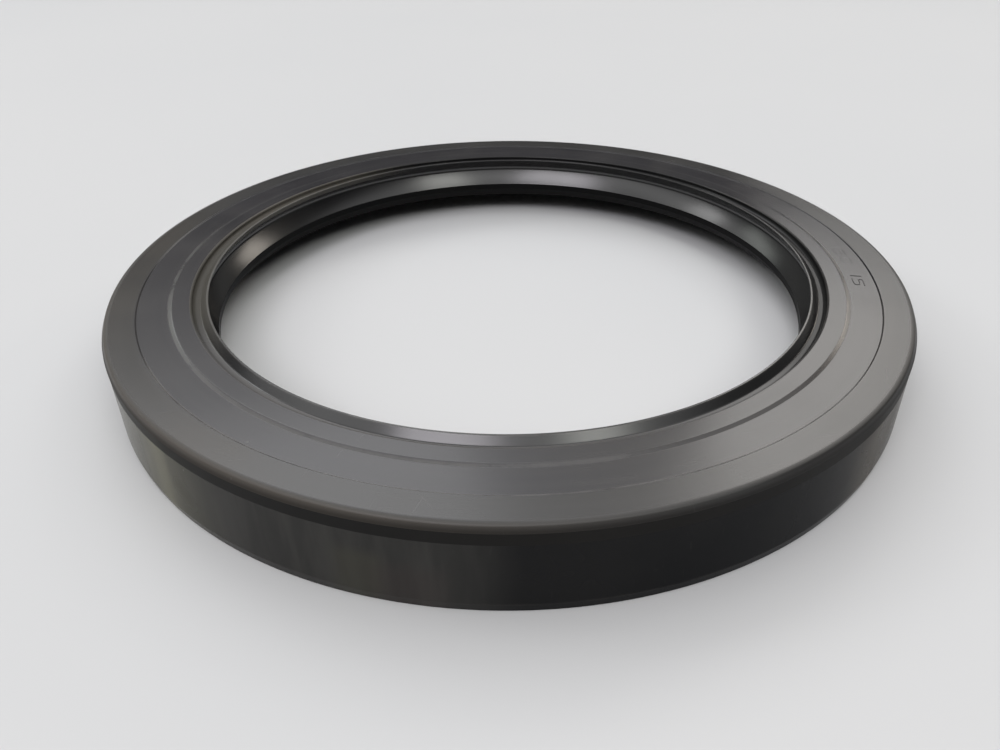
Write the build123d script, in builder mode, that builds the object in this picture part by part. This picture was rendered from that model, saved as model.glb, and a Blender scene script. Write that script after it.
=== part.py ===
from build123d import *
import os

# Radial shaft seal, rubber covered, with a dust lip and a garter spring.
# Millimetres, +Z towards the air side. The origin is the centre of the oil-side
# rim, on which the seal lies. Every piece is a ring turned about Z, so each one
# is drawn as its half section in the XZ plane, where X is the radius.

# Nominal size
shaft_radius = 57.5
housing_radius = 75.0
seal_width = 15.0

# Outer wall, from the air side down
face_edge_radius = 74.6
face_edge_fillet = 0.6
chamfer_height = 1.1
bead_height = 2.0
bead_rise = 0.08
bead_fillet = 0.35
lead_in_height = 1.5
lead_in_step = 0.3

# Air-side face, with the sunk band that carries a size mark
band_outer_radius = 69.7
band_inner_radius = 63.65
band_depth = 0.2
band_outer_ramp = 0.2
band_inner_ramp = 0.65
face_inner_radius = 60.4
face_inner_fillet = 0.35

# Dust groove and dust lip
groove_depth = 1.15
groove_floor_width = 1.3
groove_wall_fillet = 0.6
groove_slope_fillet = 0.4
dust_tip_radius = shaft_radius + 0.1
dust_tip_width = 0.3
dust_tip_drop = 0.05
dust_tip_land = 0.15

# Hollow between the lips
hollow_radius = 59.35
hollow_depth = 2.6
hollow_fillet = 1.0

# Main lip: the band that rides on the shaft, then the nose on the oil side
lip_interference = 0.7
lip_radius = shaft_radius - lip_interference
lip_band_width = 1.3
sealing_edge_height = 7.3
nose_height = 4.9
nose_flank = 2.1
nose_outer_radius = 61.15
nose_fillet = 0.5

# Garter spring and its groove in the back of the lip
spring_coil_radius = 1.4
spring_tube_wall = 0.34
spring_lead = 0.6
lip_head_thickness = 2.1
spring_ring_radius = lip_radius + lip_head_thickness + spring_coil_radius
spring_height = sealing_edge_height + spring_lead
shoulder_radius = 61.3
shoulder_height = 9.8
shoulder_fillet = 0.3

# Flexing waist between the lip head and the flange
waist_radius = 60.05
waist_fillet = 0.8

# Steel case inside the rubber: a flanged ring pressed from sheet
steel_thickness = 1.5
wall_cover = 1.2
face_cover = 1.2
inner_cover = 0.8
rim_cover = 1.2
steel_bore_radius = 63.0
steel_bend_radius = 2.0

# Oil-side cup
cup_corner_fillet = 1.2
rim_fillet = 0.4

# Heights and radii that follow
chamfer_foot = seal_width - chamfer_height
wall_top = chamfer_foot - bead_height
bead_radius = housing_radius + bead_rise
band_floor = seal_width - band_depth
groove_floor = seal_width - groove_depth
dust_tip_height = seal_width - dust_tip_drop
hollow_height = seal_width - hollow_depth
lip_band_top = sealing_edge_height + lip_band_width
steel_outer_radius = housing_radius - wall_cover
steel_inner_radius = steel_outer_radius - steel_thickness
steel_top = seal_width - face_cover
steel_underside = steel_top - steel_thickness
cup_radius = steel_inner_radius - inner_cover
cup_roof = steel_underside - inner_cover


def corner(sketch, radius, height):
    """The corner of a half section that lies nearest to a radius and a height."""
    return sketch.vertices().sort_by_distance((radius, height))[0]


def turned(section):
    """Turn a half section about the seal's axis."""
    revolve(section.sketch, axis=Axis.Z)


# Half section of the steel case, an L on its side
with BuildSketch(Plane.XZ) as steel_section:
    with BuildLine():
        Polyline(
            (steel_outer_radius, rim_cover),
            (steel_outer_radius, steel_top),
            (steel_bore_radius, steel_top),
            (steel_bore_radius, steel_underside),
            (steel_inner_radius, steel_underside),
            (steel_inner_radius, rim_cover),
            close=True,
        )
    make_face()
    fillet(corner(steel_section, steel_outer_radius, steel_top), steel_bend_radius)
    fillet(
        corner(steel_section, steel_inner_radius, steel_underside),
        steel_bend_radius - steel_thickness,
    )

# Half section of the garter spring, taken as a tube of its coils' diameter
with BuildSketch(Plane.XZ) as spring_section:
    with Locations((spring_ring_radius, spring_height)):
        Circle(spring_coil_radius)
        Circle(spring_coil_radius - spring_tube_wall, mode=Mode.SUBTRACT)

# Half section of the moulded rubber, clockwise from the edge of the air-side face
with BuildSketch(Plane.XZ) as rubber_section:
    with BuildLine():
        Polyline(
            # outer wall
            (face_edge_radius, seal_width),
            (bead_radius, chamfer_foot),
            (housing_radius, wall_top),
            (housing_radius, lead_in_height),
            (housing_radius - lead_in_step, 0),
            # oil-side rim and cup
            (cup_radius, 0),
            (cup_radius, cup_roof),
            # back of the lip
            (waist_radius, cup_roof),
            (waist_radius, shoulder_height),
            (shoulder_radius, shoulder_height),
            (nose_outer_radius, nose_height),
            # nose and sealing edge
            (lip_radius + nose_flank, nose_height),
            (lip_radius, sealing_edge_height),
            (lip_radius, lip_band_top),
            # hollow between the lips, and the dust lip
            (hollow_radius, hollow_height),
            (dust_tip_radius, dust_tip_height - dust_tip_land),
            (dust_tip_radius, dust_tip_height),
            (dust_tip_radius + dust_tip_width, dust_tip_height),
            (face_inner_radius - groove_floor_width, groove_floor),
            (face_inner_radius, groove_floor),
            # air-side face
            (face_inner_radius, seal_width),
            (band_inner_radius, seal_width),
            (band_inner_radius + band_inner_ramp, band_floor),
            (band_outer_radius - band_outer_ramp, band_floor),
            (band_outer_radius, seal_width),
            close=True,
        )
    make_face()
    fillet(corner(rubber_section, cup_radius, 0), rim_fillet)
    fillet(corner(rubber_section, cup_radius, cup_roof), cup_corner_fillet)
    fillet(corner(rubber_section, waist_radius, cup_roof), waist_fillet)
    fillet(corner(rubber_section, waist_radius, shoulder_height), waist_fillet)
    fillet(corner(rubber_section, shoulder_radius, shoulder_height), shoulder_fillet)
    fillet(corner(rubber_section, nose_outer_radius, nose_height), nose_fillet)
    fillet(corner(rubber_section, lip_radius + nose_flank, nose_height), nose_fillet)
    fillet(corner(rubber_section, hollow_radius, hollow_height), hollow_fillet)
    fillet(corner(rubber_section, face_inner_radius - groove_floor_width, groove_floor), groove_slope_fillet)
    fillet(corner(rubber_section, face_inner_radius, groove_floor), groove_wall_fillet)
    fillet(corner(rubber_section, face_inner_radius, seal_width), face_inner_fillet)
    fillet(corner(rubber_section, face_edge_radius, seal_width), face_edge_fillet)
    fillet(corner(rubber_section, bead_radius, chamfer_foot), bead_fillet)
    with Locations((spring_ring_radius, spring_height)):
        Circle(spring_coil_radius, mode=Mode.SUBTRACT)
    add(steel_section.sketch_local, mode=Mode.SUBTRACT)

with BuildPart() as steel_case:
    turned(steel_section)
steel_case.part.label = "steel_case"

with BuildPart() as garter_spring:
    turned(spring_section)
garter_spring.part.label = "garter_spring"

with BuildPart() as rubber_body:
    turned(rubber_section)
rubber_body.part.label = "rubber_body"

os.makedirs("parts", exist_ok=True)
export_step(rubber_body.part, "parts/rubber_body.step")
export_step(steel_case.part, "parts/steel_case.step")
export_step(garter_spring.part, "parts/garter_spring.step")
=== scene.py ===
import math

import bpy
from mathutils import Matrix, Vector


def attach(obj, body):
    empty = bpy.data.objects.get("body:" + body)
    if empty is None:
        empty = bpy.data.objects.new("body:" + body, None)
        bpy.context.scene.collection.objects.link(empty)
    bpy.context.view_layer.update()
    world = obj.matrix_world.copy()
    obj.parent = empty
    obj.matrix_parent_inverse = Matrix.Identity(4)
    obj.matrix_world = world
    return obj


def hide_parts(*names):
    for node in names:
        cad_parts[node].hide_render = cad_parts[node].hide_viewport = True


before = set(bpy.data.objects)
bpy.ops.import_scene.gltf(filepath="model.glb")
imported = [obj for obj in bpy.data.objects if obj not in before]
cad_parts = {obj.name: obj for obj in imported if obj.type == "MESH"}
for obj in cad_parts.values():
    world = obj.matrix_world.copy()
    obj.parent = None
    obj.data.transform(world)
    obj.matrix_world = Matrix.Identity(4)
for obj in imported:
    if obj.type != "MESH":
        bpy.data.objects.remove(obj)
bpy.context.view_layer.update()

# Radial shaft seal, rubber covered, lying on its oil-side rim. The seal's sizes are
# in millimetres, +Z towards the air side, and become metres where a mesh is made.
# Angles round the ring are in degrees, anticlockwise from above: 0 is its right,
# 90 its far side, 180 its left and 270 its front.
MM = 0.001

# Nominal size
SHAFT_RADIUS = 57.5
HOUSING_RADIUS = 75.0
SEAL_WIDTH = 15.0

# Outer wall, from the air side down
FACE_EDGE_RADIUS = 74.6
CHAMFER_HEIGHT = 1.1
CHAMFER_FOOT = SEAL_WIDTH - CHAMFER_HEIGHT
BEAD_HEIGHT = 2.0
BEAD_RISE = 0.08
BEAD_RADIUS = HOUSING_RADIUS + BEAD_RISE
WALL_TOP = CHAMFER_FOOT - BEAD_HEIGHT
LEAD_IN_HEIGHT = 1.5
LEAD_IN_STEP = 0.3

# Oil-side cup, flexing waist and shoulder
CUP_RADIUS = 71.5
CUP_ROOF = 11.5
WAIST_RADIUS = 60.05
SHOULDER_RADIUS = 61.3
SHOULDER_HEIGHT = 9.8

# Main lip, from its nose up to the hollow between the lips
NOSE_RADIUS = 61.15
NOSE_HEIGHT = 4.9
NOSE_FLANK = 2.1
LIP_INTERFERENCE = 0.7
LIP_RADIUS = SHAFT_RADIUS - LIP_INTERFERENCE
LIP_HEAD_THICKNESS = 2.1
SEALING_EDGE_HEIGHT = 7.3
LIP_BAND_WIDTH = 1.3
LIP_BAND_TOP = SEALING_EDGE_HEIGHT + LIP_BAND_WIDTH
HOLLOW_RADIUS = 59.35
HOLLOW_DEPTH = 2.6
HOLLOW_HEIGHT = SEAL_WIDTH - HOLLOW_DEPTH
FLANK_HOLLOWING = 0.12
FLANK_STEPS = 6

# Dust lip and the groove behind it
DUST_TIP_CLEARANCE = 0.1
DUST_TIP_RADIUS = SHAFT_RADIUS + DUST_TIP_CLEARANCE
DUST_TIP_WIDTH = 0.3
DUST_TIP_DROP = 0.05
DUST_TIP_HEIGHT = SEAL_WIDTH - DUST_TIP_DROP
DUST_TIP_LAND = 0.15
GROOVE_DEPTH = 1.15
GROOVE_FLOOR = SEAL_WIDTH - GROOVE_DEPTH
GROOVE_FLOOR_WIDTH = 1.3

# Air-side face. The size figures stand in its sunk band
FACE_INNER_RADIUS = 60.4
FACE_FINISH_RADIUS = 60.8
BAND_INNER_RADIUS = 63.65
BAND_OUTER_RADIUS = 69.7
BAND_DEPTH = 0.2
BAND_FLOOR = SEAL_WIDTH - BAND_DEPTH
BAND_INNER_RAMP = 0.65
BAND_OUTER_RAMP = 0.2

# How the ring and its roundings are divided. Where a straight run is long enough,
# a point a little way along it holds its shading beside a rounding.
RING_STEPS = 360
ROUNDING_STEP = math.radians(12)
LEAST_ROUNDING_STEPS = 3
STRAIGHT_ENOUGH = 1e-3
LONGEST_HOLD = 0.1
HOLDS_IN_RUN = 4

# Garter spring and its seat in the back of the main lip
SPRING_SEAT_RADIUS = 1.4
SPRING_RING_RADIUS = LIP_RADIUS + LIP_HEAD_THICKNESS + SPRING_SEAT_RADIUS
SPRING_LEAD = 0.6
SPRING_HEIGHT = SEALING_EDGE_HEIGHT + SPRING_LEAD
SEAT_UPPER_EDGE_RADIUS = 61.27
SEAT_LOWER_EDGE_RADIUS = 61.19
SEAT_EDGE_ROUNDING = 0.06
SEAT_STEPS = 30
SPRING_COIL_RADIUS = 1.385
SPRING_WIRE = 0.45
SPRING_TURNS = 800
SPRING_STEPS_PER_TURN = 14
SPRING_WIRE_SIDES = 6
JOINT_DEGREES = 200.0
JOINT_LENGTH = 3.0
JOINT_NECK = 0.16

# Raised figures. The worn ones have lost most of their height
FIGURE_RADIUS = 66.65
FIGURE_HEIGHT = 1.85
FIGURE_STROKE = 0.24
FIGURE_RISE = 0.08
FIGURE_GAP = 0.7
WORN_SHARE = 0.4
SIZE_FIGURES_START = -9.13
WORN_FIGURES_START = 2.07

# Strokes of the wide plain figures, in units of the figure's height, x along the
# ring. Each figure has its width and its strokes.
FIGURE_STROKES = {
    "0": (1.3, [[
        (0.0, 0.3), (0.0, 0.7), (0.12, 0.92), (0.35, 1.0), (0.95, 1.0), (1.18, 0.92), (1.3, 0.7),
        (1.3, 0.3), (1.18, 0.08), (0.95, 0.0), (0.35, 0.0), (0.12, 0.08), (0.0, 0.3),
    ]]),
    "1": (0.0, [[(0.0, 1.0), (0.0, 0.0)]]),
    "5": (1.3, [[
        (1.26, 1.0), (0.12, 1.0), (0.08, 0.6), (0.9, 0.62), (1.2, 0.52), (1.3, 0.3), (1.2, 0.08),
        (0.9, 0.0), (0.0, 0.02),
    ]]),
}

# Across a stroke: place in units of its width, and share of its rise. The sides
# start a little under the band's floor.
RIDGE_LEVELS = [(-0.3, 0.85), (-0.12, 1.0), (0.12, 1.0), (0.3, 0.85)]
RIDGE_FOOT = 0.5
RIDGE_SINK = 0.03
RIDGE_END_REACH = 0.4
SHARPEST_BEND = 0.6

# Sides of the ring where a finish differs: centre, half width and fade in degrees
PALE_LEFT_FACE = (198.0, 20.0, 13.0)
# The face's front right holds a warm painted highlight
HIGHLIGHT_RIGHT_FACE = (-46.0, 16.0, 30.0)
BROWN_LEFT_FACE = (208.0, 30.0, 26.0)
DUSTY_FRONT_RAMP = (228.0, 50.0, 14.0)
DUSTY_RIGHT_RAMP = (-10.0, 18.0, 14.0)
DUSTIEST_RAMP = (-8.0, 14.0, 14.0)
# The ramp's foot on the left holds a painted highlight
HIGHLIGHT_LEFT_RAMP = (188.0, 12.0, 14.0)
# The band's far step is darkened as painted shade
PAINTED_SHADE_FAR_STEP = (90.0, 70.0, 14.0)
DUSTY_NEAR_STEP = (267.0, 50.0, 8.0)
BROWN_CHAMFER = (215.0, 30.0, 50.0)
WORN_CHAMFER = (314.0, 10.0, 14.0)
HAZY_WALL = (236.0, 27.0, 9.0)
# Painted reflections of the floor on the wall's left and right edges, where it is seen edge on
REFLECTION_LEFT_WALL = (217.0, 11.0, 12.0)
REFLECTION_RIGHT_WALL = (-36.0, 4.0, 13.0)
GREEN_STREAK = (255.0, 1.2, 2.6)
BROWN_STREAK = (260.0, 1.5, 4.0)
DUSTY_LEFT_GROOVE = (168.0, 30.0, 26.0)
DUSTY_NEAR_GROOVE = (262.0, 46.0, 16.0)
# The dust lip's tip holds a painted highlight, left out on the far side
FAR_TIP_WITHOUT_HIGHLIGHT = (90.0, 44.0, 26.0)

# Floor and lights, in metres
FLOOR_REACH = 12.0
FLOOR_SIDES = 64
PANEL_DISTANCE = 3.0

# Camera: the eye stands 141 mm in front of the axis and 82 mm above the bench, and
# the lens is shifted a little to frame the ring. Turns are in radians.
EYE = (0.0, -0.141296, 0.082051)
LENS = 27.827
SENSOR_WIDTH = 36.0
LENS_SHIFT = (-0.0116, -0.0592)
CLIP_RANGE = (0.005, 50.0)
CAMERA_YAW = 0.002717
CAMERA_PITCH = 0.524108
CAMERA_ROLL = -0.004586


# ---------------------------------------------------------------- meshes


def mesh_piece(name, vertices, faces, materials, slots=None, smooth=True):
    """An object made of vertices and faces. slots has each face's material."""
    mesh = bpy.data.meshes.new(name)
    mesh.from_pydata(vertices, [], faces)
    for material in materials:
        mesh.materials.append(material)
    if slots:
        mesh.polygons.foreach_set("material_index", slots)
    mesh.polygons.foreach_set("use_smooth", [smooth] * len(mesh.polygons))
    mesh.validate()
    mesh.update()
    piece = bpy.data.objects.new(name, mesh)
    bpy.context.scene.collection.objects.link(piece)
    return piece


def rounded_outline(corners):
    """A closed outline of (radius, height, mark) points from corners given as
    (radius, height, rounding, mark). The mark names the finish of the run that
    starts at the corner. A rounding changes from one finish to the next halfway."""
    count = len(corners)
    outline = []
    for index in range(count):
        before = Vector(corners[index - 1][:2])
        here = Vector(corners[index][:2])
        after = Vector(corners[(index + 1) % count][:2])
        rounding = corners[index][2]
        mark = corners[index][3]
        earlier_mark = corners[index - 1][3]
        to_before = (before - here).normalized()
        to_after = (after - here).normalized()
        opening = math.acos(max(-1.0, min(1.0, to_before.dot(to_after))))
        if rounding <= 0 or math.pi - opening < STRAIGHT_ENOUGH:
            outline.append((here.x, here.y, mark))
            continue
        reach = rounding / math.tan(opening / 2)
        start = here + to_before * reach
        end = here + to_after * reach
        centre = here + (to_before + to_after).normalized() * (rounding / math.sin(opening / 2))
        start_angle = math.atan2(start.y - centre.y, start.x - centre.x)
        sweep = math.atan2(end.y - centre.y, end.x - centre.x) - start_angle
        sweep = (sweep + math.pi) % (2 * math.pi) - math.pi
        steps = max(LEAST_ROUNDING_STEPS, math.ceil(abs(sweep) / ROUNDING_STEP))
        hold = min(LONGEST_HOLD, rounding / 2)
        if (before - here).length - reach > HOLDS_IN_RUN * hold:
            held = start + to_before * hold
            outline.append((held.x, held.y, earlier_mark))
        for step in range(steps + 1):
            angle = start_angle + sweep * step / steps
            point = (centre.x + rounding * math.cos(angle), centre.y + rounding * math.sin(angle))
            outline.append((*point, earlier_mark if step < steps / 2 else mark))
        if (after - here).length - reach > HOLDS_IN_RUN * hold:
            held = end + to_after * hold
            outline.append((held.x, held.y, mark))
    return outline


def turned_ring(name, outline, finishes):
    """A ring turned from a closed outline about the seal's axis. finishes has the
    material of each mark in the outline."""
    marks = list(finishes)
    vertices = []
    for step in range(RING_STEPS):
        angle = 2 * math.pi * step / RING_STEPS
        across = math.cos(angle) * MM
        along = math.sin(angle) * MM
        vertices += [(radius * across, radius * along, height * MM) for radius, height, _ in outline]
    count = len(outline)
    faces = []
    slots = []
    for step in range(RING_STEPS):
        this_row = step * count
        next_row = (step + 1) % RING_STEPS * count
        for index in range(count):
            following = (index + 1) % count
            faces.append((this_row + index, this_row + following, next_row + following, next_row + index))
            slots.append(marks.index(outline[index][2]))
    return mesh_piece(name, vertices, faces, finishes.values(), slots)


def seat_corners(mark):
    """Corners of the spring's seat, most of a circle, from its upper edge round
    to its lower edge."""
    seat = Vector((SPRING_RING_RADIUS, SPRING_HEIGHT))
    upper_edge = math.acos((SEAT_UPPER_EDGE_RADIUS - seat.x) / SPRING_SEAT_RADIUS)
    lower_edge = -math.acos((SEAT_LOWER_EDGE_RADIUS - seat.x) / SPRING_SEAT_RADIUS)
    corners = []
    for step in range(SEAT_STEPS + 1):
        angle = upper_edge + (2 * math.pi + lower_edge - upper_edge) * step / SEAT_STEPS
        radius = seat.x + SPRING_SEAT_RADIUS * math.cos(angle)
        height = seat.y + SPRING_SEAT_RADIUS * math.sin(angle)
        rounding = SEAT_EDGE_ROUNDING if step in (0, SEAT_STEPS) else 0
        corners.append((radius, height, rounding, mark))
    return corners


def flank_corners(mark):
    """Corners of the flank between the lips, which is slightly hollow."""
    start = Vector((LIP_RADIUS, LIP_BAND_TOP))
    along = Vector((HOLLOW_RADIUS, HOLLOW_HEIGHT)) - start
    inward = Vector((along.y, -along.x)).normalized()
    corners = []
    for step in range(1, FLANK_STEPS):
        share = step / FLANK_STEPS
        point = start + along * share + inward * FLANK_HOLLOWING * 4 * share * (1 - share)
        corners.append((point.x, point.y, 0, mark))
    return corners


def seal_section():
    """Corners of the moulded rubber's half section, clockwise from the edge of
    the air-side face, each with its rounding and its finish."""
    return [
        # outer wall
        (FACE_EDGE_RADIUS, SEAL_WIDTH, 0.6, "chamfer"),
        (BEAD_RADIUS, CHAMFER_FOOT, 0.35, "bead"),
        (HOUSING_RADIUS, WALL_TOP, 1.0, "wall"),
        (HOUSING_RADIUS, LEAD_IN_HEIGHT, 0.6, "wall"),
        (HOUSING_RADIUS - LEAD_IN_STEP, 0.0, 0.15, "cup"),
        # oil-side cup and the back of the lip
        (CUP_RADIUS, 0.0, 0.4, "cup"),
        (CUP_RADIUS, CUP_ROOF, 1.2, "cup"),
        (WAIST_RADIUS, CUP_ROOF, 0.8, "cup"),
        (WAIST_RADIUS, SHOULDER_HEIGHT, 0.8, "cup"),
        (SHOULDER_RADIUS, SHOULDER_HEIGHT, 0.3, "cup"),
        *seat_corners("cup"),
        # nose, sealing edge and the hollow between the lips
        (NOSE_RADIUS, NOSE_HEIGHT, 0.5, "edge"),
        (LIP_RADIUS + NOSE_FLANK, NOSE_HEIGHT, 0.5, "edge"),
        (LIP_RADIUS, SEALING_EDGE_HEIGHT, 0.05, "edge"),
        (LIP_RADIUS, LIP_BAND_TOP, 0.35, "lip"),
        *flank_corners("lip"),
        (HOLLOW_RADIUS, HOLLOW_HEIGHT, 1.0, "lip"),
        # dust lip and groove
        (DUST_TIP_RADIUS, DUST_TIP_HEIGHT - DUST_TIP_LAND, 0.05, "lip"),
        (DUST_TIP_RADIUS, DUST_TIP_HEIGHT, 0.05, "lip"),
        (DUST_TIP_RADIUS + DUST_TIP_WIDTH, DUST_TIP_HEIGHT, 0.08, "lip"),
        (FACE_INNER_RADIUS - GROOVE_FLOOR_WIDTH, GROOVE_FLOOR, 0.4, "groove"),
        (FACE_INNER_RADIUS, GROOVE_FLOOR, 0.6, "groove"),
        (FACE_INNER_RADIUS, SEAL_WIDTH, 0.35, "groove"),
        # air-side face
        (FACE_FINISH_RADIUS, SEAL_WIDTH, 0, "face"),
        (BAND_INNER_RADIUS, SEAL_WIDTH, 0.3, "face"),
        (BAND_INNER_RADIUS + BAND_INNER_RAMP, BAND_FLOOR, 0.3, "face"),
        (BAND_OUTER_RADIUS - BAND_OUTER_RAMP, BAND_FLOOR, 0.08, "corner"),
        (BAND_OUTER_RADIUS, SEAL_WIDTH, 0.1, "face"),
    ]


def coiled_ring(name, material):
    """The garter spring: a close-wound coil closed on itself, with one end screwed
    into the other at the joint, where it necks down."""
    wire_radius = SPRING_WIRE / 2
    coil_radius = SPRING_COIL_RADIUS - wire_radius
    total = SPRING_TURNS * SPRING_STEPS_PER_TURN
    centres = []
    outwards = []
    for step in range(total):
        way_round = 2 * math.pi * step / total
        coil_angle = 2 * math.pi * step / SPRING_STEPS_PER_TURN
        past_joint = (way_round - math.radians(JOINT_DEGREES)) * SPRING_RING_RADIUS
        neck = 0.0
        if 0 <= past_joint < JOINT_LENGTH:
            neck = JOINT_NECK * (1 - past_joint / JOINT_LENGTH)
        radial = Vector((math.cos(way_round), math.sin(way_round), 0))
        outward = radial * math.cos(coil_angle) + Vector((0, 0, math.sin(coil_angle)))
        ring_point = radial * SPRING_RING_RADIUS + Vector((0, 0, SPRING_HEIGHT))
        centres.append(ring_point + outward * (coil_radius - neck))
        outwards.append(outward)
    vertices = []
    for step in range(total):
        along = (centres[(step + 1) % total] - centres[step - 1]).normalized()
        side = along.cross(outwards[step]).normalized()
        lift = side.cross(along)
        for corner in range(SPRING_WIRE_SIDES):
            angle = 2 * math.pi * corner / SPRING_WIRE_SIDES
            point = centres[step] + (lift * math.cos(angle) + side * math.sin(angle)) * wire_radius
            vertices.append(point * MM)
    faces = []
    for step in range(total):
        this_row = step * SPRING_WIRE_SIDES
        next_row = (step + 1) % total * SPRING_WIRE_SIDES
        for corner in range(SPRING_WIRE_SIDES):
            following = (corner + 1) % SPRING_WIRE_SIDES
            faces.append((this_row + corner, this_row + following, next_row + following, next_row + corner))
    return mesh_piece(name, vertices, faces, [material])


def add_ridge(vertices, faces, points, rise):
    """A low ridge along flat points, wider at its foot than at its top."""
    base = len(vertices)
    levels = [(across, share * rise) for across, share in RIDGE_LEVELS]
    levels = [(-RIDGE_FOOT, -RIDGE_SINK), *levels, (RIDGE_FOOT, -RIDGE_SINK)]
    last = len(points) - 1
    for index, point in enumerate(points):
        ahead = (points[min(index + 1, last)] - point).normalized() if index < last else Vector()
        behind = (point - points[max(index - 1, 0)]).normalized() if index > 0 else Vector()
        along = (ahead + behind).normalized()
        sharpness = max(SHARPEST_BEND, along.dot(ahead if index < last else behind))
        side = Vector((-along.y, along.x, 0)) / sharpness
        push = 0.0
        if index == 0:
            push = -RIDGE_END_REACH
        elif index == last:
            push = RIDGE_END_REACH
        for across, up in levels:
            spot = point + side * (across * FIGURE_STROKE) + along * (push * FIGURE_STROKE)
            vertices.append((spot.x * MM, spot.y * MM, (BAND_FLOOR + up) * MM))
    width = len(levels)
    for index in range(last):
        row = base + index * width
        for step in range(width - 1):
            faces.append((row + step, row + width + step, row + width + step + 1, row + step + 1))
        faces.append((row, row + width - 1, row + 2 * width - 1, row + width))
    faces.append(tuple(base + step for step in range(width)))
    end = base + last * width
    faces.append(tuple(end + step for step in reversed(range(width))))


def raised_figures(name, text, start_degrees, rise, material):
    """Plain figures standing up from the sunk band, their tops outward, read
    clockwise from start_degrees. Each stroke is a ridge with sloping sides."""
    vertices = []
    faces = []
    advance = 0.0
    for figure in text:
        width, strokes = FIGURE_STROKES[figure]
        for stroke in strokes:
            points = []
            for x, y in stroke:
                turn = math.radians(start_degrees) - (advance + x) * FIGURE_HEIGHT / FIGURE_RADIUS
                radius = FIGURE_RADIUS + (y - 0.5) * FIGURE_HEIGHT
                points.append(Vector((radius * math.cos(turn), radius * math.sin(turn), 0)))
            add_ridge(vertices, faces, points, rise)
        advance += width + FIGURE_GAP
    return mesh_piece(name, vertices, faces, [material], smooth=False)


def floor_disc():
    """A wide flat floor with its face up."""
    vertices = [(0.0, 0.0, 0.0)]
    for step in range(FLOOR_SIDES):
        angle = 2 * math.pi * step / FLOOR_SIDES
        vertices.append((FLOOR_REACH * math.cos(angle), FLOOR_REACH * math.sin(angle), 0.0))
    faces = [(0, step + 1, (step + 1) % FLOOR_SIDES + 1) for step in range(FLOOR_SIDES)]
    return mesh_piece("floor", vertices, faces, [pale_floor()], smooth=False)


# ---------------------------------------------------------------- node helpers


def start_group(name, inputs, outputs):
    """An empty shader node group. Its inputs are (name, kind, default) and its
    outputs (name, kind)."""
    group = bpy.data.node_groups.new(name, "ShaderNodeTree")
    for socket_name, kind, default in inputs:
        socket = group.interface.new_socket(socket_name, in_out="INPUT", socket_type=kind)
        if default is not None:
            socket.default_value = default
    for socket_name, kind in outputs:
        group.interface.new_socket(socket_name, in_out="OUTPUT", socket_type=kind)
    entry = group.nodes.new("NodeGroupInput")
    leave = group.nodes.new("NodeGroupOutput")
    return group, entry, leave


def place(tree, group, **values):
    """One use of a node group, its inputs given as numbers, colours or sockets."""
    node = tree.nodes.new("ShaderNodeGroup")
    node.node_tree = group
    for key, value in values.items():
        socket = node.inputs[key.replace("_", " ")]
        if isinstance(value, bpy.types.NodeSocket):
            tree.links.new(value, socket)
        else:
            socket.default_value = value
    return node.outputs


def maths(tree, operation, first, second=None, third=None, clamp=False):
    """A Math node. Each term is a number or an output socket."""
    node = tree.nodes.new("ShaderNodeMath")
    node.operation = operation
    node.use_clamp = clamp
    for socket, term in zip(node.inputs, (first, second, third)):
        if term is None:
            continue
        if isinstance(term, (int, float)):
            socket.default_value = term
        else:
            tree.links.new(term, socket)
    return node.outputs[0]


def product(tree, first, *others):
    """Terms multiplied together."""
    for other in others:
        first = maths(tree, "MULTIPLY", first, other)
    return first


def sum_up(tree, base, *parts):
    """base plus parts, each a value and its weight."""
    for value, weight in parts:
        base = maths(tree, "MULTIPLY_ADD", value, weight, base)
    return base


def greatest(tree, first, *others):
    for other in others:
        first = maths(tree, "MAXIMUM", first, other)
    return first


def remap(tree, value, low, high, to_low=0.0, to_high=1.0):
    """A smooth step from to_low, where value is low, to to_high, where it is high."""
    node = tree.nodes.new("ShaderNodeMapRange")
    node.interpolation_type = "SMOOTHSTEP"
    node.inputs["From Min"].default_value = low
    node.inputs["From Max"].default_value = high
    node.inputs["To Min"].default_value = to_low
    node.inputs["To Max"].default_value = to_high
    tree.links.new(value, node.inputs["Value"])
    return node.outputs["Result"]


def noise(tree, vector, scale, detail=2.0, roughness=0.5):
    node = tree.nodes.new("ShaderNodeTexNoise")
    node.inputs["Scale"].default_value = scale
    node.inputs["Detail"].default_value = detail
    node.inputs["Roughness"].default_value = roughness
    tree.links.new(vector, node.inputs["Vector"])
    return node.outputs["Fac"]


def stretched(tree, vector, factors):
    """A vector multiplied by factors, so that a noise on it runs long and thin."""
    node = tree.nodes.new("ShaderNodeVectorMath")
    node.operation = "MULTIPLY"
    node.inputs[1].default_value = factors
    tree.links.new(vector, node.inputs[0])
    return node.outputs[0]


def blend_colour(tree, mask, first, second):
    """Mixes two colours. Each is a tuple or an output socket."""
    node = tree.nodes.new("ShaderNodeMix")
    node.data_type = "RGBA"
    for socket, term in ((node.inputs[0], mask), (node.inputs[6], first), (node.inputs[7], second)):
        if isinstance(term, tuple):
            socket.default_value = (*term, 1.0)
        else:
            tree.links.new(term, socket)
    return node.outputs[2]


def layered(tree, colour, *layers):
    """Layers laid over a colour one after another, each a mask and its colour."""
    for mask, layer in layers:
        colour = blend_colour(tree, mask, colour, layer)
    return colour


def on_side(tree, ring, side):
    """1 on one side of the ring, fading to 0. A side has its centre, half width and
    fade."""
    centre, half_width, fade = side
    turn = maths(tree, "SUBTRACT", ring["Angle"], centre)
    wrapped = maths(tree, "WRAP", turn, 180.0, -180.0)
    away = maths(tree, "ABSOLUTE", wrapped)
    return remap(tree, away, half_width, half_width + fade, 1.0, 0.0)


# ---------------------------------------------------------------- node groups


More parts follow.
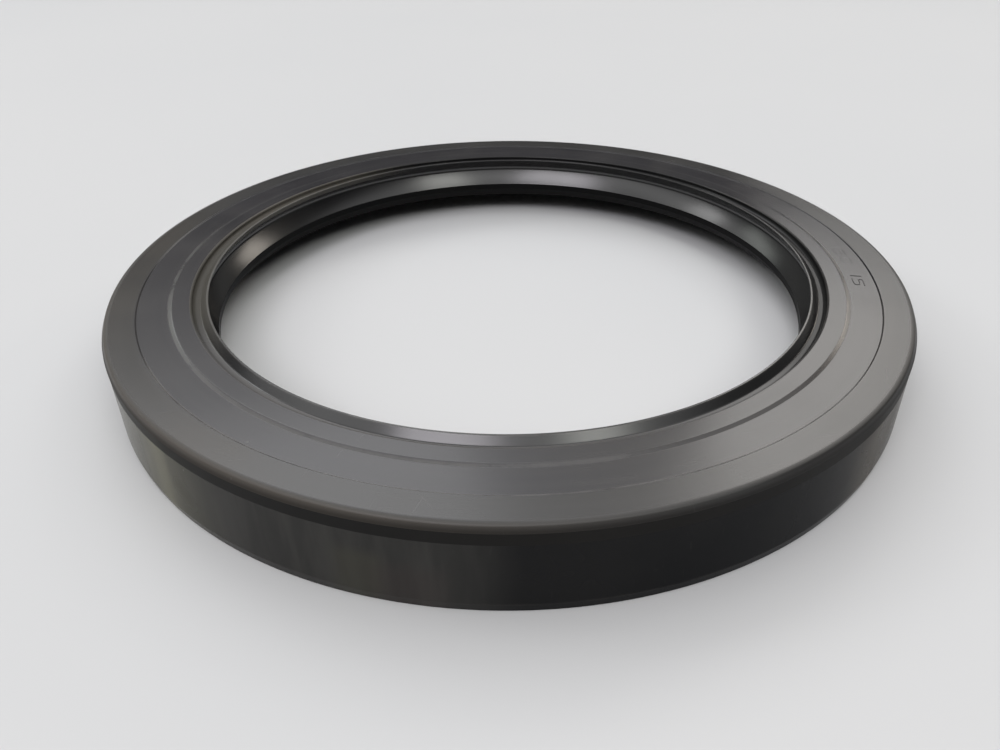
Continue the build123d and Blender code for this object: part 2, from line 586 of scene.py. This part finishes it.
def ring_place_group():
    """Where a point is on the ring: radius and height in millimetres, and the angle
    round it in degrees. A noise on Along runs round the ring in long thin cells."""
    group, entry, leave = start_group(
        "ring place",
        [("Position", "NodeSocketVector", None)],
        [
            ("Radius", "NodeSocketFloat"),
            ("Angle", "NodeSocketFloat"),
            ("Height", "NodeSocketFloat"),
            ("Along", "NodeSocketVector"),
        ],
    )
    millimetres = 1 / MM
    cells_per_metre = 40.0
    split = group.nodes.new("ShaderNodeSeparateXYZ")
    group.links.new(entry.outputs["Position"], split.inputs[0])
    x, y, z = split.outputs
    square = maths(group, "ADD", product(group, x, x), product(group, y, y))
    radius = product(group, maths(group, "SQRT", square), millimetres)
    angle = maths(group, "DEGREES", maths(group, "ARCTAN2", y, x))
    height = product(group, z, millimetres)
    along = group.nodes.new("ShaderNodeCombineXYZ")
    group.links.new(radius, along.inputs[0])
    group.links.new(product(group, x, cells_per_metre), along.inputs[1])
    group.links.new(product(group, y, cells_per_metre), along.inputs[2])
    group.links.new(radius, leave.inputs["Radius"])
    group.links.new(angle, leave.inputs["Angle"])
    group.links.new(height, leave.inputs["Height"])
    group.links.new(along.outputs[0], leave.inputs["Along"])
    return group


def turning_lines_group():
    """Fine lines round the ring, left by the turned mould."""
    group, entry, leave = start_group(
        "turning lines",
        [("Along", "NodeSocketVector", None), ("Position", "NodeSocketVector", None)],
        [("Fine", "NodeSocketFloat"), ("Broad", "NodeSocketFloat")],
    )
    along = entry.outputs["Along"]
    fine = noise(group, along, scale=4.2, detail=3.0, roughness=0.65)
    broad = noise(group, along, scale=1.1)
    breaks = remap(group, noise(group, entry.outputs["Position"], scale=60.0, detail=3.0), 0.35, 0.65)
    broken = product(group, fine, sum_up(group, 0.4, (breaks, 0.6)))
    group.links.new(broken, leave.inputs["Fine"])
    group.links.new(broad, leave.inputs["Broad"])
    return group


def bloom_group():
    """Cloudy wax bloom, fine grain and handling smudges."""
    group, entry, leave = start_group(
        "bloom",
        [("Position", "NodeSocketVector", None)],
        [("Cloud", "NodeSocketFloat"), ("Grain", "NodeSocketFloat"), ("Smudge", "NodeSocketFloat")],
    )
    position = entry.outputs["Position"]
    cloud = remap(group, noise(group, position, scale=26.0, detail=4.0, roughness=0.55), 0.36, 0.66)
    grain = noise(group, position, scale=1500.0, detail=3.0, roughness=0.7)
    smudge = remap(group, noise(group, position, scale=60.0, detail=3.0), 0.48, 0.76)
    group.links.new(cloud, leave.inputs["Cloud"])
    group.links.new(grain, leave.inputs["Grain"])
    group.links.new(smudge, leave.inputs["Smudge"])
    return group


def scuffs_group():
    """Short fine scratches in three directions, and small pale specks. Each direction
    has its turn in degrees and an offset that sets its scratches apart."""
    group, entry, leave = start_group(
        "scuffs",
        [("Position", "NodeSocketVector", None), ("Amount", "NodeSocketFloat", 0.5)],
        [("Scratches", "NodeSocketFloat"), ("Specks", "NodeSocketFloat")],
    )
    position = entry.outputs["Position"]
    amount = entry.outputs["Amount"]
    directions = ((22.0, 0.0), (-37.0, 3.1), (81.0, 7.4))
    thin_lines = (2600.0, 95.0, 300.0)
    sets = []
    for turn, offset in directions:
        mapping = group.nodes.new("ShaderNodeMapping")
        mapping.inputs["Rotation"].default_value = (0, 0, math.radians(turn))
        mapping.inputs["Location"].default_value = (offset, offset * 0.7, 0)
        group.links.new(position, mapping.inputs["Vector"])
        turned = mapping.outputs[0]
        thin = noise(group, stretched(group, turned, thin_lines), scale=1.0, detail=1.0, roughness=0.4)
        patches = remap(group, noise(group, turned, scale=45.0, detail=1.0), 0.54, 0.62)
        sets.append(product(group, remap(group, thin, 0.735, 0.79), patches))
    scratches = greatest(group, *sets)
    cells = group.nodes.new("ShaderNodeTexVoronoi")
    cells.inputs["Scale"].default_value = 420.0
    group.links.new(position, cells.inputs["Vector"])
    pick = group.nodes.new("ShaderNodeSeparateColor")
    group.links.new(cells.outputs["Color"], pick.inputs[0])
    chosen = maths(group, "GREATER_THAN", pick.outputs[0], 0.955)
    dots = remap(group, cells.outputs["Distance"], 0.05, 0.13, 1.0, 0.0)
    specks = product(group, dots, chosen)
    group.links.new(product(group, scratches, amount), leave.inputs["Scratches"])
    group.links.new(product(group, specks, amount), leave.inputs["Specks"])
    return group


def hanging_streaks_group():
    """Soft upright streaks on the outer wall, fine and broad."""
    group, entry, leave = start_group(
        "hanging streaks",
        [("Position", "NodeSocketVector", None)],
        [("Fine", "NodeSocketFloat"), ("Broad", "NodeSocketFloat")],
    )
    upright = stretched(group, entry.outputs["Position"], (1.0, 1.0, 0.16))
    fine = remap(group, noise(group, upright, scale=240.0, detail=3.0, roughness=0.55), 0.34, 0.68)
    broad = remap(group, noise(group, upright, scale=120.0), 0.42, 0.68)
    group.links.new(fine, leave.inputs["Fine"])
    group.links.new(broad, leave.inputs["Broad"])
    return group


def ring_line_group():
    """A soft line where a value is near a centre, broken up along its length."""
    group, entry, leave = start_group(
        "ring line",
        [
            ("Value", "NodeSocketFloat", 0.0),
            ("Centre", "NodeSocketFloat", 0.0),
            ("Width", "NodeSocketFloat", 1.0),
            ("Position", "NodeSocketVector", None),
        ],
        [("Mask", "NodeSocketFloat")],
    )
    offset = maths(group, "SUBTRACT", entry.outputs["Value"], entry.outputs["Centre"])
    away = maths(group, "DIVIDE", maths(group, "ABSOLUTE", offset), entry.outputs["Width"])
    near = maths(group, "SUBTRACT", 1.0, away, clamp=True)
    clouds = noise(group, entry.outputs["Position"], scale=130.0, detail=4.0, roughness=0.6)
    patch = remap(group, clouds, 0.32, 0.62, 0.25, 1.0)
    group.links.new(product(group, near, patch), leave.inputs["Mask"])
    return group


RING_PLACE = ring_place_group()
TURNING_LINES = turning_lines_group()
BLOOM = bloom_group()
SCUFFS = scuffs_group()
HANGING_STREAKS = hanging_streaks_group()
RING_LINE = ring_line_group()


# ---------------------------------------------------------------- materials


def start_material(name):
    """A material, its node tree and a point's position, and what every finish of the
    ring starts from: the place on the ring, the turned lines and the bloom."""
    material = bpy.data.materials.new(name)
    material.use_nodes = True
    tree = material.node_tree
    spot = tree.nodes.new("ShaderNodeTexCoord")
    position = spot.outputs["Object"]
    ring = place(tree, RING_PLACE, Position=position)
    lines = place(tree, TURNING_LINES, Along=ring["Along"], Position=position)
    bloom = place(tree, BLOOM, Position=position)
    return material, tree, position, ring, lines, bloom


def finish_surface(tree, colour, roughness, height, depth, strength):
    """Joins colour, roughness and a bump, its depth in millimetres, to the shader."""
    shader = tree.nodes["Principled BSDF"]
    tree.links.new(colour, shader.inputs["Base Color"])
    tree.links.new(roughness, shader.inputs["Roughness"])
    bump = tree.nodes.new("ShaderNodeBump")
    bump.inputs["Strength"].default_value = strength
    bump.inputs["Distance"].default_value = depth * MM
    tree.links.new(height, bump.inputs["Height"])
    tree.links.new(bump.outputs["Normal"], shader.inputs["Normal"])


def turned_relief(tree, lines, bloom, line_share, grain_share):
    """Height of the turned lines and the grain together."""
    return sum_up(tree, product(tree, bloom["Grain"], grain_share), (lines["Fine"], line_share))


def ring_line(tree, position, value, centre, width):
    """A broken line round the ring where a radius or height is near centre, all in
    millimetres."""
    return place(tree, RING_LINE, Value=value, Centre=centre, Width=width, Position=position)["Mask"]


def face_ground(tree, ring, lines, bloom, outer_land):
    """Colour of the clean face. The outer land is warmer than the sunk band and the inner land, the left
    side is paler, and the right side in front carries a warm painted highlight."""
    cloud = bloom["Cloud"]
    inner = blend_colour(tree, cloud, (0.0178, 0.0168, 0.0198), (0.0240, 0.0228, 0.0258))
    pale_left = product(tree, on_side(tree, ring, PALE_LEFT_FACE), 0.85)
    inner = blend_colour(tree, pale_left, inner, (0.0370, 0.0352, 0.0372))
    outer = blend_colour(tree, cloud, (0.0245, 0.0240, 0.0236), (0.0320, 0.0310, 0.0300))
    turned = product(tree, remap(tree, lines["Broad"], 0.4, 0.7), 0.3)
    # painted highlight: the face at the front right made warmer and lighter
    right_face_highlight = product(tree, on_side(tree, ring, HIGHLIGHT_RIGHT_FACE), 0.45)
    brown_left = product(
        tree,
        on_side(tree, ring, BROWN_LEFT_FACE),
        outer_land,
        sum_up(tree, 0.2, (cloud, 0.5)),
    )
    return layered(
        tree,
        blend_colour(tree, outer_land, inner, outer),
        (turned, (0.038, 0.0365, 0.036)),
        (right_face_highlight, (0.042, 0.036, 0.030)),
        (brown_left, (0.044, 0.037, 0.028)),
        (product(tree, bloom["Smudge"], 0.22), (0.050, 0.046, 0.042)),
    )


def dust_and_painted_light(tree, position, ring, colour):
    """Dust in the corners of the sunk band, laid over a colour, with painted light in two places: the far
    step has no dust and is darkened as painted shade, and the foot of the ramp on the left carries a lighter
    line as a painted highlight. Returns the new colour and a mask of the dust and that highlight."""
    radius = ring["Radius"]
    ramp_line = ring_line(tree, position, radius, BAND_INNER_RADIUS + 0.43, 0.46)
    ramp_foot = ring_line(tree, position, radius, BAND_INNER_RADIUS + 0.67, 0.32)
    step_line = ring_line(tree, position, radius, BAND_OUTER_RADIUS - 0.12, 0.26)
    dusty_ramp = greatest(tree, on_side(tree, ring, DUSTY_FRONT_RAMP), on_side(tree, ring, DUSTY_RIGHT_RAMP))
    ramp = product(tree, ramp_line, dusty_ramp)
    right_ramp = product(tree, ramp, on_side(tree, ring, DUSTIEST_RAMP))
    # painted highlight: a lighter line at the foot of the ramp on the left, roughened like the dust
    left_ramp_highlight = product(tree, ramp_foot, on_side(tree, ring, HIGHLIGHT_LEFT_RAMP))
    # painted shade: the band's far step darkened
    far_step_shade = product(tree, step_line, on_side(tree, ring, PAINTED_SHADE_FAR_STEP))
    near_step = product(tree, step_line, on_side(tree, ring, DUSTY_NEAR_STEP))
    colour = layered(
        tree,
        colour,
        (ramp, (0.062, 0.059, 0.057)),
        (right_ramp, (0.115, 0.110, 0.105)),
        (left_ramp_highlight, (0.054, 0.051, 0.048)),
        (far_step_shade, (0.0090, 0.0090, 0.0095)),
        (near_step, (0.145, 0.139, 0.133)),
    )
    return colour, greatest(tree, ramp, left_ramp_highlight, near_step)


def face_rubber(name, shine, fading=False):
    """Air-side face and the chamfer round it: satin moulded rubber with wax bloom
    and fine turned lines. shine is the specular level. A fading finish has a sheen
    that is lost down the chamfer."""
    material, tree, position, ring, lines, bloom = start_material(name)
    shader = tree.nodes["Principled BSDF"]
    shader.inputs["Specular IOR Level"].default_value = shine
    scuffs = place(tree, SCUFFS, Position=position, Amount=0.25)
    outer_land = remap(tree, ring["Radius"], BAND_OUTER_RADIUS - 0.4, BAND_OUTER_RADIUS + 0.6)
    ground = face_ground(tree, ring, lines, bloom, outer_land)
    # the mask returned covers the dust and the left ramp's painted highlight
    colour, dust = dust_and_painted_light(tree, position, ring, ground)

    chamfer = remap(tree, ring["Radius"], FACE_EDGE_RADIUS - 0.7, FACE_EDGE_RADIUS + 0.2)
    brown_height = remap(tree, ring["Height"], CHAMFER_FOOT + 0.2, SEAL_WIDTH - 0.1, 0.3, 0.75)
    brown = product(tree, on_side(tree, ring, BROWN_CHAMFER), brown_height)
    chamfer_colour = blend_colour(tree, brown, (0.0110, 0.0102, 0.0095), (0.058, 0.046, 0.033))
    colour = layered(
        tree,
        colour,
        (chamfer, chamfer_colour),
        (scuffs["Scratches"], (0.085, 0.082, 0.080)),
        (scuffs["Specks"], (0.16, 0.155, 0.14)),
    )

    duller_edge = remap(tree, ring["Radius"], FACE_EDGE_RADIUS - 0.8, FACE_EDGE_RADIUS - 0.3)
    roughness = sum_up(
        tree,
        0.17,
        (outer_land, 0.03),
        (bloom["Cloud"], 0.03),
        (lines["Broad"], 0.04),
        (bloom["Smudge"], 0.03),
        (dust, 0.25),
        (duller_edge, 0.34),
    )
    height = sum_up(tree, turned_relief(tree, lines, bloom, 0.9, 0.35), (scuffs["Scratches"], -0.4))
    finish_surface(tree, colour, roughness, height, 0.010, 0.4)
    if fading:
        shader.inputs["Coat Roughness"].default_value = 0.5
        sheen = remap(tree, ring["Height"], CHAMFER_FOOT + 0.1, SEAL_WIDTH - 0.1)
        worn = remap(tree, on_side(tree, ring, WORN_CHAMFER), 0.0, 1.0, 1.0, 0.35)
        tree.links.new(product(tree, sheen, worn), shader.inputs["Coat Weight"])
    return material


def wall_rubber(name, base, pale, base_roughness, haze_and_reflection_strength):
    """Outer wall and the bead above it: black rubber, greyed by handling, with painted reflections of the
    floor on its left and right edges, where it is seen edge on, and a painted highlight along its foot.
    haze_and_reflection_strength is how strong the grey and the painted reflections are."""
    material, tree, position, ring, lines, bloom = start_material(name)
    tree.nodes["Principled BSDF"].inputs["Specular IOR Level"].default_value = 0.04
    scuffs = place(tree, SCUFFS, Position=position, Amount=0.15)
    hanging = place(tree, HANGING_STREAKS, Position=position)
    haze = sum_up(tree, 0.62, (hanging["Fine"], 0.35))
    haze = product(tree, on_side(tree, ring, HAZY_WALL), haze, haze_and_reflection_strength)
    # painted reflection of the floor on the wall's left edge
    left_wall_reflection = sum_up(tree, 0.45, (hanging["Broad"], 0.45))
    left_wall_reflection = product(tree, on_side(tree, ring, REFLECTION_LEFT_WALL), left_wall_reflection, haze_and_reflection_strength)
    # painted reflection of the floor on the wall's right edge
    right_wall_reflection = sum_up(tree, 0.35, (hanging["Broad"], 0.35))
    right_wall_reflection = product(tree, on_side(tree, ring, REFLECTION_RIGHT_WALL), right_wall_reflection, haze_and_reflection_strength)
    green_streak = remap(tree, ring["Height"], 10.0, 7.0)
    green_streak = product(tree, on_side(tree, ring, GREEN_STREAK), green_streak, 0.45)
    brown_streak = remap(tree, ring["Height"], 9.0, 5.0)
    brown_streak = product(tree, on_side(tree, ring, BROWN_STREAK), brown_streak, 0.35)
    # painted highlight along the wall's rounded foot, above the lead-in
    foot_highlight = product(tree, ring_line(tree, position, ring["Height"], LEAD_IN_HEIGHT, 0.3), 0.3)
    colour = layered(
        tree,
        blend_colour(tree, bloom["Cloud"], base, pale),
        (haze, (0.050, 0.049, 0.046)),
        (left_wall_reflection, (0.150, 0.145, 0.105)),
        (green_streak, (0.062, 0.060, 0.046)),
        (brown_streak, (0.050, 0.040, 0.038)),
        (right_wall_reflection, (0.110, 0.095, 0.072)),
        (foot_highlight, (0.050, 0.047, 0.044)),
        (product(tree, scuffs["Scratches"], 0.5), (0.07, 0.068, 0.064)),
        (scuffs["Specks"], (0.12, 0.115, 0.10)),
    )
    roughness = sum_up(tree, base_roughness, (bloom["Cloud"], 0.06), (bloom["Smudge"], 0.10))
    finish_surface(tree, colour, roughness, turned_relief(tree, lines, bloom, 0.6, 0.3), 0.008, 0.4)
    return material


def lip_rubber(name, shine, dust):
    """Lips and the groove between them and the face: clean glossy black rubber, with a painted highlight
    along the dust lip's tip. Pale dust lies in the groove at the left, and as much as dust says in front.
    shine is the specular level."""
    material, tree, position, ring, lines, bloom = start_material(name)
    tree.nodes["Principled BSDF"].inputs["Specular IOR Level"].default_value = shine
    scuffs = place(tree, SCUFFS, Position=position, Amount=0.25)
    left_dust = product(
        tree,
        remap(tree, ring["Height"], GROOVE_FLOOR - 0.45, GROOVE_FLOOR - 0.05),
        on_side(tree, ring, DUSTY_LEFT_GROOVE),
        sum_up(tree, 0.65, (bloom["Cloud"], 0.25)),
    )
    near_dust = product(tree, on_side(tree, ring, DUSTY_NEAR_GROOVE), dust)
    # painted highlight: a lighter line along the dust lip's tip, left out on the far side
    tip_highlight_share = remap(tree, on_side(tree, ring, FAR_TIP_WITHOUT_HIGHLIGHT), 0.0, 1.0, 0.45, 0.0)
    tip_highlight = product(tree, ring_line(tree, position, ring["Height"], DUST_TIP_HEIGHT, 0.18), tip_highlight_share)
    colour = layered(
        tree,
        blend_colour(tree, bloom["Cloud"], (0.0065, 0.0065, 0.007), (0.010, 0.0098, 0.0098)),
        (left_dust, (0.092, 0.085, 0.071)),
        (near_dust, (0.105, 0.102, 0.100)),
        (tip_highlight, (0.085, 0.080, 0.074)),
        (product(tree, scuffs["Scratches"], 0.4), (0.05, 0.05, 0.05)),
    )
    roughness = sum_up(tree, 0.20, (bloom["Cloud"], 0.05), (left_dust, 0.25))
    finish_surface(tree, colour, roughness, turned_relief(tree, lines, bloom, 0.35, 0.12), 0.006, 0.3)
    return material


def edge_rubber_painted_shade():
    """The trimmed sealing edge and the flank below it: dull and clean, its black deepened under the lip as
    painted shade.
    """
    material, tree, _, _, lines, bloom = start_material("edge rubber with painted shade")
    tree.nodes["Principled BSDF"].inputs["Specular IOR Level"].default_value = 0.08
    # painted shade: the edge and the flank under the lip made blacker than the lip
    colour = blend_colour(tree, bloom["Cloud"], (0.0030, 0.0030, 0.0032), (0.0050, 0.0049, 0.0049))
    roughness = sum_up(tree, 0.50, (bloom["Cloud"], 0.08))
    finish_surface(tree, colour, roughness, turned_relief(tree, lines, bloom, 0.5, 0.2), 0.006, 0.3)
    return material


def cup_rubber():
    """Oil side: black rubber as it leaves the mould, with a trace of grease."""
    material, tree, _, _, lines, bloom = start_material("cup rubber")
    colour = blend_colour(tree, bloom["Cloud"], (0.014, 0.014, 0.0145), (0.022, 0.021, 0.0205))
    colour = blend_colour(tree, product(tree, bloom["Smudge"], 0.3), colour, (0.034, 0.030, 0.025))
    roughness = sum_up(tree, 0.44, (bloom["Smudge"], -0.10))
    finish_surface(tree, colour, roughness, turned_relief(tree, lines, bloom, 0.6, 0.35), 0.012, 0.6)
    return material


def bright_steel(name, base, oiled, base_roughness):
    """Drawn or pressed steel with faint streaks along its length and oil marks."""
    material, tree, _, _, lines, bloom = start_material(name)
    tree.nodes["Principled BSDF"].inputs["Metallic"].default_value = 1.0
    colour = blend_colour(tree, bloom["Smudge"], base, oiled)
    roughness = sum_up(tree, base_roughness, (bloom["Cloud"], 0.12))
    finish_surface(tree, colour, roughness, turned_relief(tree, lines, bloom, 0.5, 0.3), 0.006, 0.4)
    return material


def pale_floor():
    """A plain pale bench top, clear to an eye below it."""
    material = bpy.data.materials.new("pale floor")
    material.use_nodes = True
    tree = material.node_tree
    shader = tree.nodes["Principled BSDF"]
    spot = tree.nodes.new("ShaderNodeTexCoord")
    cloud = noise(tree, spot.outputs["Object"], scale=3.0, detail=3.0)
    colour = blend_colour(tree, cloud, (0.60, 0.61, 0.62), (0.66, 0.66, 0.66))
    tree.links.new(colour, shader.inputs["Base Color"])
    shader.inputs["Roughness"].default_value = 0.7
    shader.inputs["Specular IOR Level"].default_value = 0.2
    geometry = tree.nodes.new("ShaderNodeNewGeometry")
    path = tree.nodes.new("ShaderNodeLightPath")
    clear = tree.nodes.new("ShaderNodeBsdfTransparent")
    mix = tree.nodes.new("ShaderNodeMixShader")
    seen_from_below = product(tree, geometry.outputs["Backfacing"], path.outputs["Is Camera Ray"])
    tree.links.new(seen_from_below, mix.inputs[0])
    tree.links.new(shader.outputs[0], mix.inputs[1])
    tree.links.new(clear.outputs[0], mix.inputs[2])
    tree.links.new(mix.outputs[0], tree.nodes["Material Output"].inputs["Surface"])
    return material


# ---------------------------------------------------------------- camera and light


def shifted_camera():
    """The camera, turned by its yaw, then pitched down, then rolled."""
    data = bpy.data.cameras.new("camera")
    data.sensor_width = SENSOR_WIDTH
    data.lens = LENS
    data.shift_x, data.shift_y = LENS_SHIFT
    data.clip_start, data.clip_end = CLIP_RANGE
    camera = bpy.data.objects.new("camera", data)
    bpy.context.scene.collection.objects.link(camera)
    level_look = Vector((math.sin(CAMERA_YAW), math.cos(CAMERA_YAW), 0.0))
    look = level_look * math.cos(CAMERA_PITCH) - Vector((0.0, 0.0, math.sin(CAMERA_PITCH)))
    level_right = Vector((math.cos(CAMERA_YAW), -math.sin(CAMERA_YAW), 0.0))
    level_up = level_right.cross(look)
    right = level_right * math.cos(CAMERA_ROLL) + level_up * math.sin(CAMERA_ROLL)
    up = level_up * math.cos(CAMERA_ROLL) - level_right * math.sin(CAMERA_ROLL)
    turn = Matrix((right, up, -look)).transposed()
    camera.matrix_world = Matrix.Translation(EYE) @ turn.to_4x4()
    return camera


def soft_panel(name, size, brightness, azimuth, elevation, colour=(1.0, 1.0, 1.0)):
    """A soft light panel that faces the seal. size is its width and height in
    metres, and brightness is its radiance."""
    light = bpy.data.lights.new(name, "AREA")
    light.shape = "RECTANGLE"
    light.size, light.size_y = size
    light.energy = brightness * math.pi * size[0] * size[1]
    light.color = colour
    panel = bpy.data.objects.new(name, light)
    turn_round = math.radians(azimuth)
    rise = math.radians(elevation)
    level_way = Vector((math.cos(turn_round), math.sin(turn_round), 0.0))
    way = level_way * math.cos(rise) + Vector((0.0, 0.0, math.sin(rise)))
    panel.location = way * PANEL_DISTANCE
    panel.rotation_mode = "QUATERNION"
    panel.rotation_quaternion = way.to_track_quat("Z", "Y")
    bpy.context.scene.collection.objects.link(panel)


def room_light():
    """The room's light: faint at bench height, dark above that, and even overhead,
    where it starts a little lower on the left."""
    world = bpy.data.worlds.new("room")
    world.use_nodes = True
    tree = world.node_tree
    background = tree.nodes["Background"]
    sky = tree.nodes.new("ShaderNodeTexCoord")
    split = tree.nodes.new("ShaderNodeSeparateXYZ")
    tree.links.new(sky.outputs["Generated"], split.inputs[0])
    across, _, height = split.outputs
    tilted_height = sum_up(tree, height, (across, -0.15))
    low = blend_colour(tree, remap(tree, height, 0.16, 0.30), (0.20, 0.20, 0.195), (0.05, 0.05, 0.051))
    colour = blend_colour(tree, remap(tree, tilted_height, 0.42, 0.67), low, (0.92, 0.92, 0.92))
    tree.links.new(colour, background.inputs["Color"])
    background.inputs["Strength"].default_value = 1.0
    return world


# ---------------------------------------------------------------- pieces

finishes = {
    "face": face_rubber("face rubber", 0.8),
    "corner": face_rubber("corner rubber", 0.45),
    "chamfer": face_rubber("chamfer rubber", 0.3, fading=True),
    "bead": wall_rubber("bead rubber", (0.0130, 0.0126, 0.0122), (0.0170, 0.0162, 0.0154), 0.42, 0.1),
    "wall": wall_rubber("wall rubber", (0.0110, 0.0114, 0.0122), (0.0150, 0.0149, 0.0152), 0.20, 1.0),
    "lip": lip_rubber("lip rubber", 0.8, 0.0),
    "groove": lip_rubber("groove rubber", 0.25, 0.9),
    "edge": edge_rubber_painted_shade(),
    "cup": cup_rubber(),
}
spring_steel = bright_steel("spring steel", (0.56, 0.55, 0.53), (0.38, 0.35, 0.31), 0.24)
case_steel = bright_steel("case steel", (0.40, 0.40, 0.39), (0.28, 0.27, 0.25), 0.42)

seal_body = turned_ring("moulded_body", rounded_outline(seal_section()), finishes)
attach(seal_body, "root")
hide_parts("rubber_body")

spring = coiled_ring("coiled_spring", spring_steel)
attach(spring, "root")
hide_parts("garter_spring")

size_figures = raised_figures("size_figures", "15", SIZE_FIGURES_START, FIGURE_RISE, finishes["face"])
worn_figures = raised_figures(
    "worn_figures", "150", WORN_FIGURES_START, FIGURE_RISE * WORN_SHARE, finishes["face"]
)
for figures in (size_figures, worn_figures):
    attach(figures, "root")

for node, material in (
    ("steel_case", case_steel),
    ("garter_spring", spring_steel),
    ("rubber_body", finishes["face"]),
):
    for material_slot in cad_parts[node].material_slots:
        material_slot.material = material


# ---------------------------------------------------------------- stage

floor = floor_disc()

soft_panel("back_panel", (1.55, 1.50), 1.35, 112.5, 50.0, (0.98, 0.98, 1.0))
soft_panel("window_panel", (0.74, 1.24), 2.45, 62.5, 35.4, (1.0, 0.98, 0.95))
soft_panel("front_panel", (2.60, 0.60), 0.6, 270.0, 49.0)
soft_panel("front_left_panel", (1.40, 0.90), 4.9, 243.0, 49.5, (0.98, 0.94, 1.0))
soft_panel("front_right_panel", (0.74, 0.90), 4.5, -54.0, 49.0, (0.99, 1.0, 0.94))
soft_panel("left_panel", (1.80, 0.66), 0.5, 200.0, 40.0)
soft_panel("left_lamp", (0.60, 0.60), 4.2, 167.0, 34.5)
soft_panel("low_left_lamp", (0.90, 0.50), 2.1, 140.0, 22.5, (0.95, 1.0, 0.95))
soft_panel("low_right_lamp", (0.66, 0.66), 4.4, 42.5, 21.5, (1.0, 0.92, 0.82))
soft_panel("overhead_panel", (1.60, 1.60), 0.5, 90.0, 86.0)

bpy.context.scene.world = room_light()
bpy.context.scene.camera = shifted_camera()
bpy.context.scene.view_settings.view_transform = "Standard"

bpy.context.view_layer.update()
